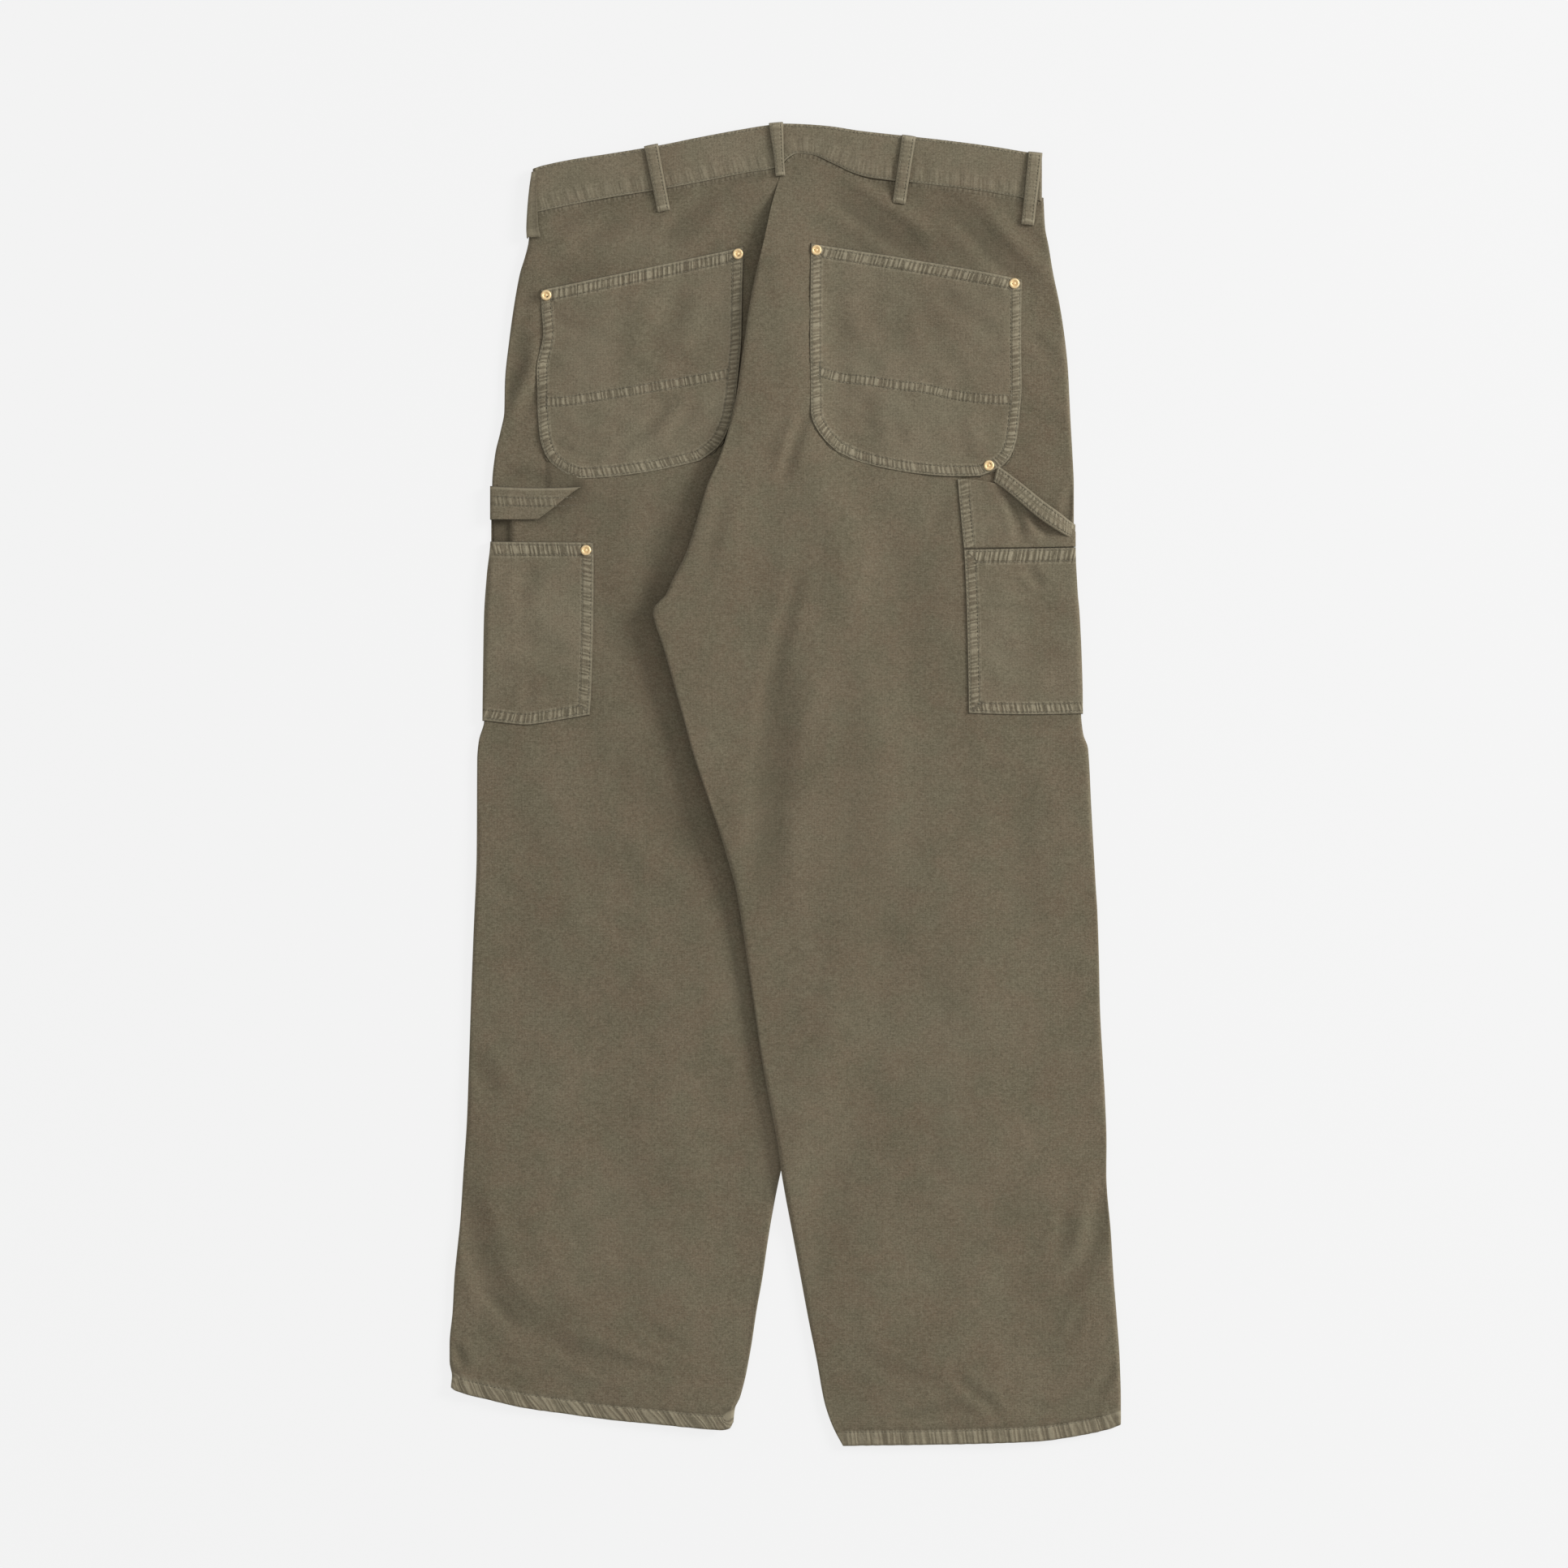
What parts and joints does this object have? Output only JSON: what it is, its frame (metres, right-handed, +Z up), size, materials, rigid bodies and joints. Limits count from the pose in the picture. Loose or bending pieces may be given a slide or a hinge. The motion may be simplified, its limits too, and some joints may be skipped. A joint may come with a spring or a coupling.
{
  "type": "carpenter pants",
  "caption": "Canvas work trousers laid flat with the back up, one leg partly over the other, with patch pockets, tool pockets, hammer loops and riveted corners",
  "frame": {"origin": "the middle of the laid-out garment's outline in plan, at the floor it lies on", "axes": "+Y runs from the hems up to the waist, +X is the wearer's right, +Z points up out of the garment's back"},
  "size_m": [0.5518, 1.0871, 0.0127],
  "materials": {
    "canvas": "matte garment-dyed cotton canvas, olive brown, paler on the puckered seams",
    "rivet_metal": "worn brass, satin"
  },
  "bodies": {
    "root": {"front_left": "canvas", "front_right": "canvas", "back_left": "canvas", "back_right": "canvas", "waistband": "canvas", "fly_shield": "canvas", "back_pocket_left": "canvas", "back_pocket_right": "canvas", "tool_pocket_left": "canvas", "tool_pocket_right": "canvas", "side_panel_right": "canvas", "hammer_loop_left": "canvas", "hammer_loop_right": "canvas", "belt_loop_side_left": "canvas", "belt_loop_back_left": "canvas", "belt_loop_centre": "canvas", "belt_loop_back_right": "canvas", "belt_loop_side_right": "canvas", "rivet_left_pocket_outer": "rivet_metal", "rivet_left_pocket_inner": "rivet_metal", "rivet_right_pocket_inner": "rivet_metal", "rivet_right_pocket_outer": "rivet_metal", "rivet_right_pocket_corner": "rivet_metal", "rivet_left_tool_pocket": "rivet_metal", "waist_button": "rivet_metal"}
  },
  "joints": []
}
